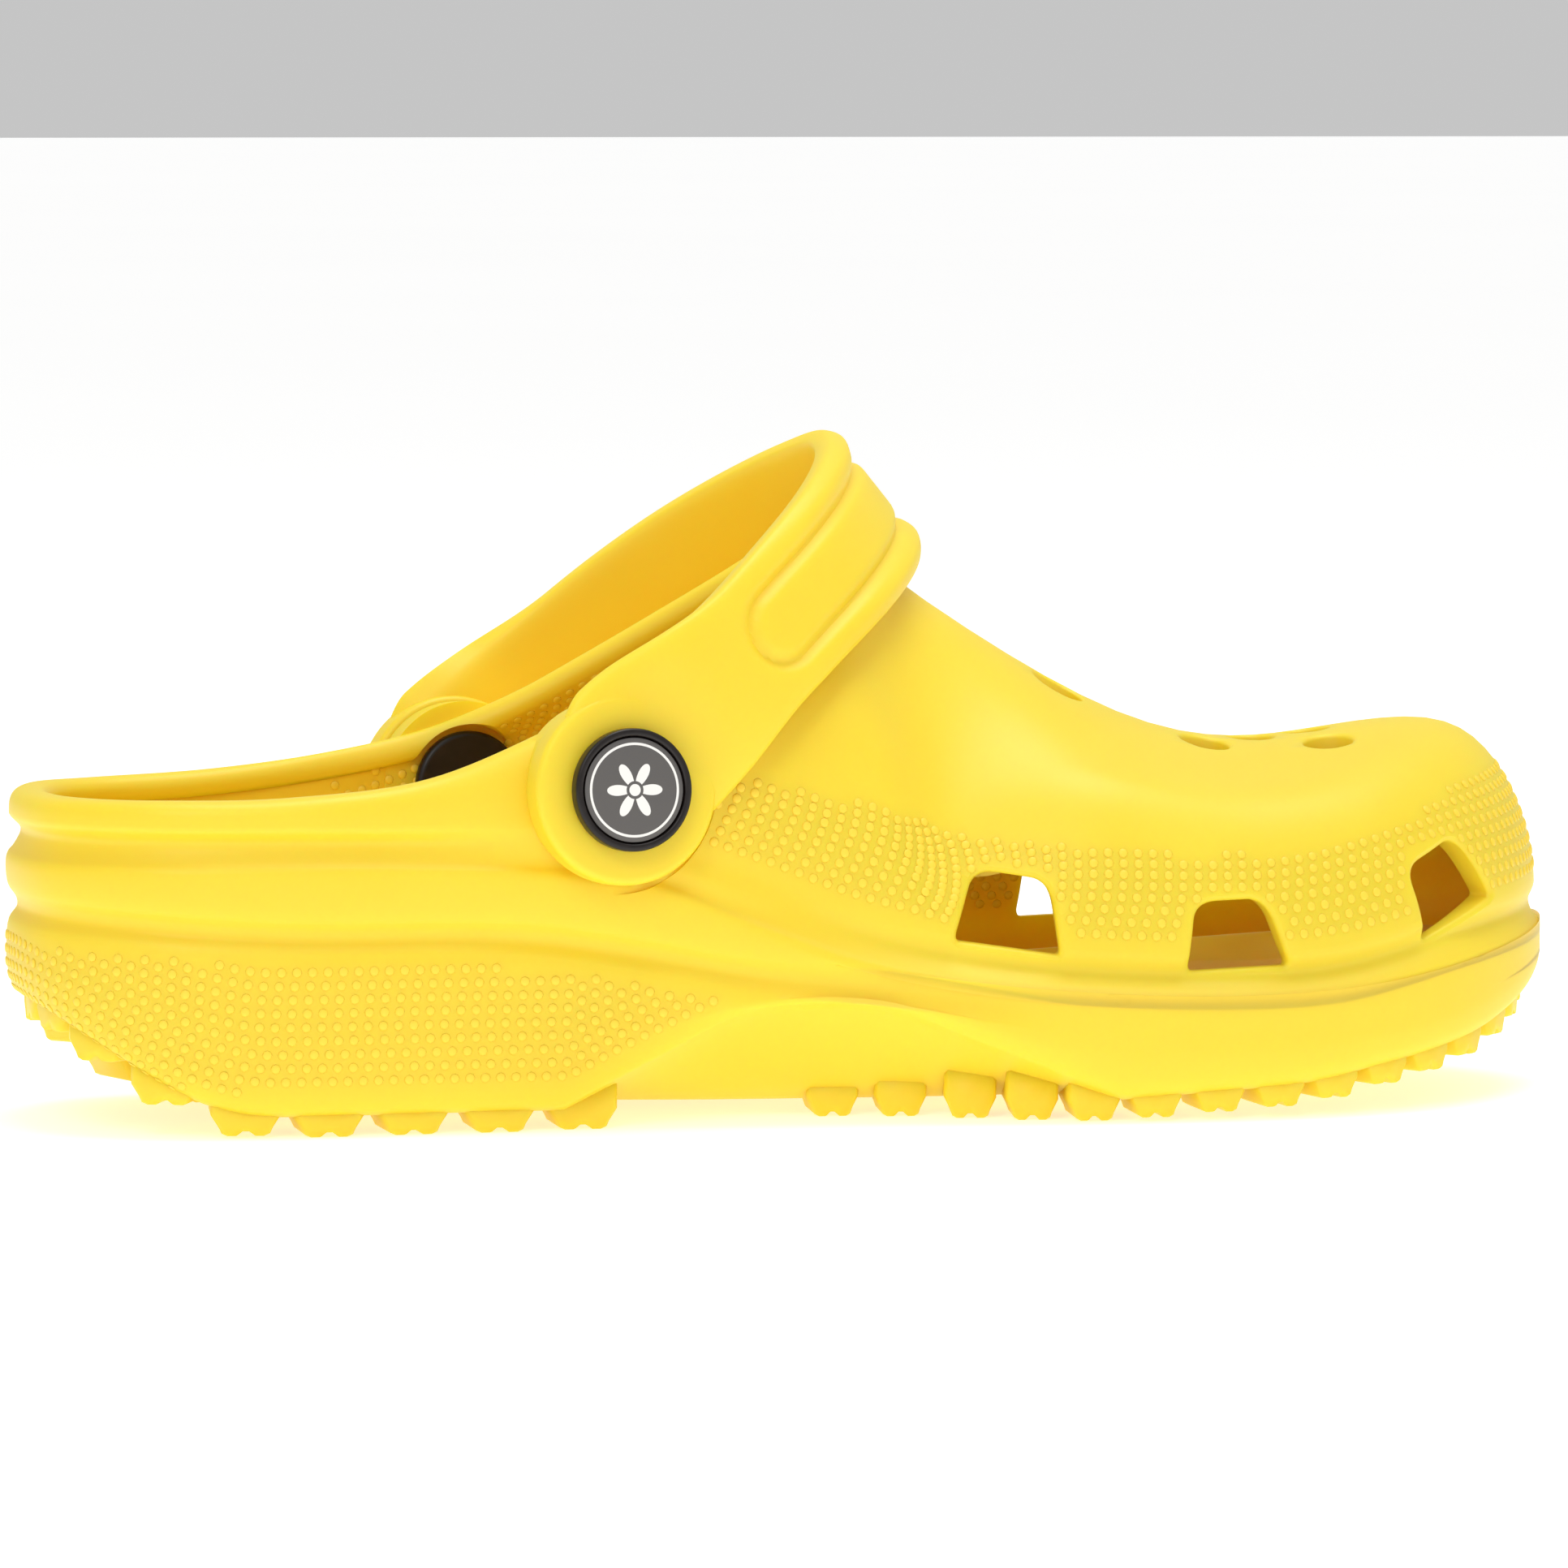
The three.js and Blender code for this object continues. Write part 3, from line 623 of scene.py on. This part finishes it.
def ventCutter(vent, tree):
    c = columnAt(vent["x"], vent["side"])
    out = Vector((-c.inward[0][0], -c.inward[0][1], 0))
    up = Vector((0, 0, 1))
    place = frameOf(up.cross(out), up, out, shifted(c.inset(0, vent["z"]))[0])
    outline = ventOutline(vent) * np.array([-vent["side"], 1])
    if vent["side"] > 0:
        outline = outline[::-1]
    return throughCut(outline, place, tree, ventCut["lip"], ventCut["inside"], ventCut["outside"])


def topCutter(place, tree):
    angles = np.arange(40) / 40 * 2 * math.pi
    ring = np.stack([np.cos(angles), np.sin(angles)], axis=1) * topHoles["radius"]
    x, y, _ = shifted((*place, 0))
    frameMatrix = frameOf((1, 0, 0), (0, 1, 0), (0, 0, 1), (x, y, topHoles["level"]))
    return throughCut(ring, frameMatrix, tree, topHoles["lip"], topHoles["inside"], topHoles["outside"])


skinTree = BVHTree.FromObject(shell, bpy.context.evaluated_depsgraph_get())
sides = (-1, 1)
cuts = [ventCutter(v, skinTree) for v in vents] + [topCutter(p, skinTree) for p in topHoles["places"]]
pad, capBay = hinge["padThickness"], hinge["capRadius"] + hinge["capClearance"]
carve(shell, [
    ("UNION", [disc(hinge["padRadius"], -pad, -0.5, s) for s in sides]),
    ("DIFFERENCE", [disc(hinge["seatRadius"], 0, 9, s) for s in sides]),
    ("DIFFERENCE", [disc(capBay, -pad - hinge["cutPast"], -pad, s) for s in sides]),
    ("DIFFERENCE", [disc(hinge["postHoleRadius"], -pad - 4, 4, s) for s in sides]),
    ("DIFFERENCE", cuts),
])
finished(shell, bodyFoam)
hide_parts("clog_body")
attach(shell, "clog")
print("shell cut:", len(shell.data.polygons), "faces")


# what repeats on the shell: Geometry Nodes set a pattern mesh on each site

def repeatTree():
    tree = bpy.data.node_groups.new("repeat_on_sites", "GeometryNodeTree")
    add = tree.interface.new_socket
    add("Sites", in_out="INPUT", socket_type="NodeSocketGeometry")
    add("Pattern", in_out="INPUT", socket_type="NodeSocketObject")
    add("Size", in_out="INPUT", socket_type="NodeSocketVector")
    add("Material", in_out="INPUT", socket_type="NodeSocketMaterial")
    add("Geometry", in_out="OUTPUT", socket_type="NodeSocketGeometry")
    given = addNode(tree, "NodeGroupInput").outputs
    pattern = addNode(tree, "GeometryNodeObjectInfo", None, {"Object": given["Pattern"]})
    out = addNode(tree, "GeometryNodeInputNamedAttribute", {"data_type": "FLOAT_VECTOR"}, {"Name": "outward"})
    run = addNode(tree, "GeometryNodeInputNamedAttribute", {"data_type": "FLOAT_VECTOR"}, {"Name": "forward"})
    stand = addNode(tree, "FunctionNodeAlignRotationToVector", {"axis": "Z"},
                    {"Vector": out.outputs["Attribute"]})
    face = addNode(tree, "FunctionNodeAlignRotationToVector", {"axis": "X", "pivot_axis": "Z"},
                   {"Rotation": stand.outputs[0], "Vector": run.outputs["Attribute"]})
    placed = addNode(tree, "GeometryNodeInstanceOnPoints", None,
                     {"Points": given["Sites"], "Instance": pattern.outputs["Geometry"],
                      "Rotation": face.outputs[0], "Scale": given["Size"]})
    real = addNode(tree, "GeometryNodeRealizeInstances", None, {0: placed.outputs[0]})
    soft = addNode(tree, "GeometryNodeSetShadeSmooth", None, {0: real.outputs[0]})
    named = addNode(tree, "GeometryNodeSetMaterial", None,
                    {"Geometry": soft.outputs[0], "Material": given["Material"]})
    addNode(tree, "NodeGroupOutput", None, {0: named.outputs[0]})
    return tree


repeatOnSites = repeatTree()


def repeated(name, spots, outward, forward, pattern, size, material):
    mesh = bpy.data.meshes.new(name)
    mesh.from_pydata((np.asarray(spots) * mm).tolist(), [], [])
    for key, values in (("outward", outward), ("forward", forward)):
        layer = mesh.attributes.new(key, "FLOAT_VECTOR", "POINT")
        layer.data.foreach_set("vector", np.asarray(values, float).ravel())
    obj = addObject(name, mesh)
    sample = addObject("pattern", pattern)
    grow = obj.modifiers.new("repeat", "NODES")
    grow.node_group = repeatOnSites
    sockets = {s.name: s.identifier for s in repeatOnSites.interface.items_tree if s.in_out == "INPUT"}
    grow[sockets["Pattern"]] = sample
    grow[sockets["Size"]] = size
    grow[sockets["Material"]] = material
    baked(obj)
    bpy.data.objects.remove(sample)
    return obj


def domeMesh():
    # a low round pimple, 1 wide and 1 high, with a short foot below its base
    rows = []
    for radius, height in ((0.3, -0.6), (0.5, 0.0), (0.42, 0.55), (0.2, 0.95)):
        angles = np.arange(8) / 8 * 2 * math.pi
        rows.append(np.stack([np.cos(angles) * radius, np.sin(angles) * radius,
                              np.full(8, height)], axis=1) / mm)
    return skinMesh("pimple", rows)


pimples = {"pitch": 2.6, "rowPitch": 2.3, "width": 1.7, "height": 0.24, "searchDepth": 2.2, "edgeGap": 1.3,
           "top": [(108, 62), (118, 59), (142, 55), (168, 50), (185, 46.5), (207, 45), (229, 46), (243, 49),
                   (258, 55), (272, 58)]}


def bandSites(first, last, ringsOf, low, high):
    # staggered rows of sites along a band of the wall, each row at one distance up the surface
    c = Columns(np.linspace(first, last, 500))
    grid = np.array(ringsOf(c))
    normals = np.cross(np.gradient(grid, axis=1), np.gradient(grid, axis=0))
    normals /= np.maximum(np.linalg.norm(normals, axis=2, keepdims=True), 1e-9)
    steps = np.linalg.norm(np.diff(grid, axis=0), axis=2)
    climb = np.concatenate([np.zeros((1, grid.shape[1])), np.cumsum(steps, axis=0)])
    pitch = pimples["pitch"]
    spots, outs = [], []
    for row, height in enumerate(np.arange(pimples["rowPitch"] / 2, climb[-1].max(), pimples["rowPitch"])):
        line, face = (np.array([[np.interp(height, climb[:, i], field[:, i, k]) for k in range(3)]
                                for i in range(len(c.x))]) for field in (grid, normals))
        run = np.concatenate([[0], np.cumsum(np.linalg.norm(np.diff(line, axis=0), axis=1))])
        inBand = (height < climb[-1]) & (line[:, 2] > low(c.x)) & (line[:, 2] < high(c.x))
        for stop in np.arange(row % 2 * pitch / 2, run[-1], pitch):
            if inBand[np.searchsorted(run, stop)]:
                spots.append([np.interp(stop, run, line[:, k]) for k in range(3)])
                outs.append([np.interp(stop, run, face[:, k]) for k in range(3)])
    return shifted(spots), np.array(outs)


def onSurface(spots, outs, tree):
    # drops each site onto the finished surface, and leaves out those at a hole or an edge
    kept, faced = [], []
    reach, edge = pimples["searchDepth"], pimples["edgeGap"]
    for p, n in zip(spots, outs):
        p, n = Vector(p), Vector(n).normalized()
        hits = []
        for aside in ((0, 0, 0), (edge, 0, 0), (-edge, 0, 0), (0, 0, edge), (0, 0, -edge)):
            start = p + Vector(aside) + n * reach
            hits.append(tree.ray_cast(start * mm, -n, 2 * reach * mm))
        if any(h[0] is None or h[1].dot(n) < 0.75 for h in hits):
            continue
        kept.append(hits[0][0] / mm)
        faced.append(hits[0][1])
    return np.array(kept), np.array(faced)


cutTree = BVHTree.FromObject(shell, bpy.context.evaluated_depsgraph_get())
upperSteps = np.linspace(0, 1, 60)


def addPimples(name, spots, outs):
    spots, outs = onSurface(spots, outs, cutTree)
    forward = np.cross(outs, [0, 0, 1])
    size = (pimples["width"] * mm, pimples["width"] * mm, pimples["height"] * mm)
    obj = repeated(name, spots, outs, forward, domeMesh(), size, pimpleFoam)
    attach(obj, "clog")
    print(name, len(spots), "pimples")


def upperBand(c):
    return [c.upper(q) for q in upperSteps]


def lowerBand(c):
    return filled(sideRings(c), 6)[12:42]


def innerBand(c):
    outer = np.array([c.upper(q) for q in upperSteps])
    across = np.gradient(outer, axis=0)
    around = np.gradient(outer, axis=1)
    n = np.cross(around, across)
    n /= np.maximum(np.linalg.norm(n, axis=2, keepdims=True), 1e-9)
    return (outer - n * clog["wall"])[::-1]


addPimples("vamp_pimples", *bandSites(0.2, 0.79, upperBand, lambda x: level("wallBase", x) + 1.2,
                                      lambda x: along(pimples["top"], x)))
addPimples("heel_pimples", *bandSites(-0.23, 0.22, lowerBand,
                                      lambda x: np.maximum(6.5, level("archLift", x) + 8),
                                      lambda x: level("lowGroove", x) - 5))
addPimples("inner_pimples", *bandSites(0.6, 0.86, innerBand, lambda x: level("footbed", x) + 8,
                                       lambda x: 200))


# the tread blocks

lugs = {
    "zones": [{"from": 0.815, "to": 1.175, "pitch": 14, "width": 9, "depth": 14},
              {"from": 0.22, "to": 0.765, "pitch": 10.4, "width": 6.8, "depth": 14}],
    "rootHeight": 5, "edgeGap": 3.4, "archShare": 0.8, "steps": 400, "flare": 1.3,
}


def lugMesh(width, depth):
    # a block whose foot has two round ribs across it
    drop = clog["lugDrop"]
    w, d, top = width / 2, depth / 2, lugs["rootHeight"]
    root = w * lugs["flare"]
    half = [(root, top), (root, 0), (w, -0.6 * drop), (0.9 * w, -0.88 * drop), (0.68 * w, -drop),
            (0.36 * w, -drop), (0.12 * w, -0.78 * drop)]
    line = [(-x, z) for x, z in half] + half[::-1]
    rows = []
    for y, share in ((-d, 0.86), (-d + 0.8, 1), (d - 0.8, 1), (d, 0.86)):
        rows.append([(x * share, y, z if z > 0 else z * (0.5 + 0.5 * share)) for x, z in line])
    return skinMesh("lug", [np.array(r) / mm for r in rows])


def lugTurns(zone):
    found, travelled = [], 0.0
    trial = zone["from"] + (zone["to"] - zone["from"]) * np.arange(lugs["steps"] + 1) / lugs["steps"]
    edge = Columns(trial).edge
    for i in range(1, len(trial)):
        travelled += float(np.linalg.norm(edge[i] - edge[i - 1]))
        if travelled >= zone["pitch"]:
            travelled = 0.0
            found.append(trial[i])
    return np.array(found)


for label, zone in zip(("heel_lugs", "forefoot_lugs"), lugs["zones"]):
    c = Columns(lugTurns(zone))
    place = c.inset(lugs["edgeGap"] + zone["depth"] / 2 + c.arch * lugs["archShare"], c.tread)
    along2d = np.column_stack([-c.inward[:, 1], c.inward[:, 0], np.zeros(len(c.x))])
    upward = np.tile([0.0, 0.0, 1.0], (len(c.x), 1))
    block = repeated(label, shifted(place), upward, along2d, lugMesh(zone["width"], zone["depth"]),
                     (mm, mm, mm), bodyFoam)
    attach(block, "clog")
    print(label, len(c.x), "blocks")


# the heel strap

strap = {
    "reach": 78.5, "drawnReach": 77, "thick": 2.95, "half": 11.9, "shift": 2.2, "rows": 260,
    "side": [(0, 0), (0, 11), (-1.4, 21), (0, 32), (4.4, 44.5), (11.6, 57), (21.8, 67.2), (33, 74)],
    "under": 0.74, "squareness": 5, "outerPoints": 61, "underPoints": 27,
    "flare": 3.6, "flareEnd": 36, "crestExtra": 1.2,
    # a groove runs round a long raised panel; the rolled edges rise towards the crest
    "panelFrom": 33, "panelHalf": 6.3, "grooveDepth": 1.35, "grooveWidth": 1.15,
    "beadHeight": 0.9, "beadWidth": 1.9, "beadIn": 2.7, "bossFillet": 1.4,
}


def strapRows():
    edge = halfSpan + hinge["gap"] + hinge["bossThickness"] / 2
    scale = strap["reach"] / strap["drawnReach"]
    near = [(x * scale, y - edge, 0) for y, x in strap["side"]]
    far = [(x, -y, 0) for x, y, _ in reversed(near)]
    points = near + [(strap["reach"], 0, 0)] + far
    path, _ = curveThrough(points, np.linspace(0, len(points) - 1, 1600))
    run = np.concatenate([[0], np.cumsum(np.linalg.norm(np.diff(path, axis=0), axis=1))])
    stops = np.linspace(0, run[-1], strap["rows"] + 1)
    centre = np.column_stack([np.interp(stops, run, path[:, k]) for k in range(3)])
    ahead = np.gradient(centre, axis=0)
    ahead /= np.linalg.norm(ahead, axis=1, keepdims=True)
    out = np.column_stack([ahead[:, 1], -ahead[:, 0], np.zeros(len(ahead))])
    share = np.arange(strap["rows"] + 1) / strap["rows"]
    arm = np.minimum(share, 1 - share) * 2
    half = strap["half"] + strap["crestExtra"] * smooth(arm, 0.25, 0.9)
    shift = strap["shift"] * (1 - smooth(arm, 0.4, 0.95))
    across, through = strapSection()
    outer = smooth(through, 0.3, 0.9)
    rows = []
    for i in range(len(centre)):
        x = centre[i, 0]
        flare = strap["flare"] * smooth(x, -6, 5) * (1 - smooth(x, 6, strap["flareEnd"]))
        flare = flare * smooth(through, -0.7, 0.3)
        v = across * (half[i] + flare)
        pastEnd = min(x - strap["panelFrom"] - strap["panelHalf"], 0)
        toPanel = np.abs(np.hypot(pastEnd, v) - strap["panelHalf"])
        groove = strap["grooveDepth"] * np.exp(-(toPanel / strap["grooveWidth"]) ** 2)
        crestShare = smooth(arm[i], 0.35, 0.75)
        bead = strap["beadHeight"] * crestShare * np.exp(
            -((np.abs(v) - half[i] + strap["beadIn"]) / strap["beadWidth"]) ** 2)
        lift = through * strap["thick"] + (bead - groove) * outer
        rows.append(centre[i] + out[i] * lift[:, None]
                    + np.column_stack([np.zeros((len(v), 2)), shift[i] - v]))
    return rows


def strapSection():
    # a squared oval, wound once round: the outer face first, then the flatter underside
    n = strap["squareness"]
    top = np.sin(np.linspace(-1, 1, strap["outerPoints"]) * math.radians(87.5))
    low = np.sin(np.linspace(1, -1, strap["underPoints"]) * math.radians(84))
    height = (1 - np.abs(top) ** n) ** (1 / n)
    depth = -strap["under"] * (1 - np.abs(low) ** n) ** (1 / n)
    return np.concatenate([top, low]), np.concatenate([height, depth])


def strapFrame():
    tilt = Matrix.Rotation(-math.radians(hinge["restAngle"]), 4, "Y")
    return frameOf(hingeForward, hingeAxis, hingeUp, (medialSeat + lateralSeat) / 2) @ tilt


band = addObject("swing_strap", skinMesh("swing_strap", strapRows()))
band.data.transform(strapFrame())
boss = (hinge["gap"], hinge["gap"] + hinge["bossThickness"])
carve(band, [
    ("UNION", [disc(hinge["bossRadius"], *boss, s, strap["bossFillet"]) for s in sides]),
    ("DIFFERENCE", [disc(hinge["postHoleRadius"], boss[0] - 2, boss[1] + 2, s) for s in sides]),
])
finished(band, strapFoam)
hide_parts("heel_strap")
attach(band, "strap")
print("strap made:", len(band.data.polygons), "faces")


# the rivets: a headed button, a printed disc in its face and a cap inside

def discMap(mesh, side):
    # a flat map over the disc's face
    layer = mesh.uv_layers.new(name="faceMap")
    back = seatFrame(side).inverted()
    for loop in mesh.loops:
        p = back @ mesh.vertices[loop.vertex_index].co / mm
        layer.data[loop.index].uv = (0.5 + p.x / discMapSize, 0.5 + p.y / discMapSize)


def addTurned(name, profile, side, material, node, body):
    obj = addObject(name, turnedMesh(name, profile, seatFrame(side)))
    finished(obj, material, 50)
    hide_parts(node)
    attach(obj, body)
    return obj


for label, side in (("medial", -1), ("lateral", 1)):
    face = hinge["gap"] * 2 + hinge["bossThickness"]
    rim = face + hinge["headThickness"]
    floor = rim - hinge["badgeThickness"] - 0.2
    end = 0.4 - hinge["padThickness"]
    base = floor + hinge["gap"]
    top = base + hinge["badgeThickness"]
    seat = -hinge["padThickness"] - hinge["gap"]
    capEnd = seat - hinge["capThickness"]
    button = [(0.01, floor - 1), (hinge["studHoleRadius"], floor - 1), (hinge["studHoleRadius"], end),
              (hinge["postRadius"], end), (hinge["postRadius"], face), (hinge["headRadius"], face),
              (hinge["headRadius"], rim), (hinge["badgeRadius"] + 0.3, rim),
              (hinge["badgeRadius"] + 0.3, floor), (0.01, floor)]
    body = label + "_rivet"
    addTurned(label + "_button", rounded(button, 0.8, 5), side, blackPlastic, body + "_button",
              body)
    dome = [(0.01, base), (hinge["badgeRadius"] - 0.3, base), (hinge["badgeRadius"], base + 0.2),
            (hinge["badgeRadius"], base + 0.35)]
    radii = np.linspace(hinge["badgeRadius"] - 0.25, 0.01, 12)
    dome += [(r, base + 0.5 + (top - base - 0.5) * (1 - (r / hinge["badgeRadius"]) ** 2)) for r in radii]
    badge = addTurned(label + "_badge", dome, side, printedDisc, body + "_badge", body)
    discMap(badge.data, side)
    cap = [(0.01, capEnd), (hinge["capRadius"], capEnd), (hinge["capRadius"], seat),
           (hinge["studRadius"], seat), (hinge["studRadius"], 3), (0.01, 3)]
    addTurned(label + "_cap", rounded(cap, 1.1, 6), side, blackPlastic, body + "_cap", body)
print("rivets made")


# floor, light and camera

def stageMaterial():
    # matt painted board, off white, lit evenly enough to read as paper white
    material, tree, surface, place = newMaterial("matt_painted_board", Roughness=0.9, Emission_Strength=0.46)
    surface.inputs["Emission Color"].default_value = linear("#ffffff")
    tone = addNode(tree, "ShaderNodeTexNoise", None, {"Vector": place.outputs["Object"], "Scale": 0.8})
    mix = addNode(tree, "ShaderNodeMix", {"data_type": "RGBA"},
                  {0: tone.outputs["Fac"], 6: linear("#f4f4f3"), 7: linear("#f8f8f7")})
    tree.links.new(mix.outputs[2], surface.inputs["Base Color"])
    return material


def addFloor(halfSize=40.0):
    mesh = bpy.data.meshes.new("floor")
    corners = [(-1, -1), (1, -1), (1, 1), (-1, 1)]
    mesh.from_pydata([(x * halfSize, y * halfSize, cadBox[0][2]) for x, y in corners], [], [(0, 1, 2, 3)])
    mesh.materials.append(stageMaterial())
    addObject("floor", mesh)


def addWorld(colour="#ffffff", strength=0.56):
    world = bpy.data.worlds.new("soft_room")
    bpy.context.scene.world = world
    world.use_nodes = True
    background = world.node_tree.nodes["Background"]
    background.inputs["Color"].default_value = linear(colour)
    background.inputs["Strength"].default_value = strength


studio = [
    {"name": "overhead", "spot": (0.15, 0.0, 1.3), "size": 0.9, "power": 8.6},
    {"name": "key", "spot": (-0.6, -1.1, 1.0), "size": 0.6, "power": 4.0},
]


def addLights():
    for lamp in studio:
        light = bpy.data.lights.new(lamp["name"], "AREA")
        light.shape = "DISK"
        light.size = lamp["size"]
        light.energy = lamp["power"]
        obj = addObject(lamp["name"], light)
        obj.location = lamp["spot"]
        obj.rotation_euler = (-Vector(lamp["spot"])).to_track_quat("-Z", "Y").to_euler()


shot = {"azimuth": -14.3, "elevation": 4.5, "distance": 1.5, "lens": 199, "aim": (-0.0003, 0, 0.0547)}


def addCamera():
    a, e = math.radians(shot["azimuth"]), math.radians(shot["elevation"])
    back = Vector((math.sin(a) * math.cos(e), -math.cos(a) * math.cos(e), math.sin(e)))
    data = bpy.data.cameras.new("camera")
    data.lens = shot["lens"]
    data.sensor_width = 36
    camera = addObject("camera", data)
    camera.location = Vector(shot["aim"]) + back * shot["distance"]
    camera.rotation_euler = (-back).to_track_quat("-Z", "Y").to_euler()
    bpy.context.scene.camera = camera


addFloor()
addWorld()
addLights()
addCamera()
bpy.context.scene.view_settings.view_transform = "Standard"
print("stage, light and camera set")
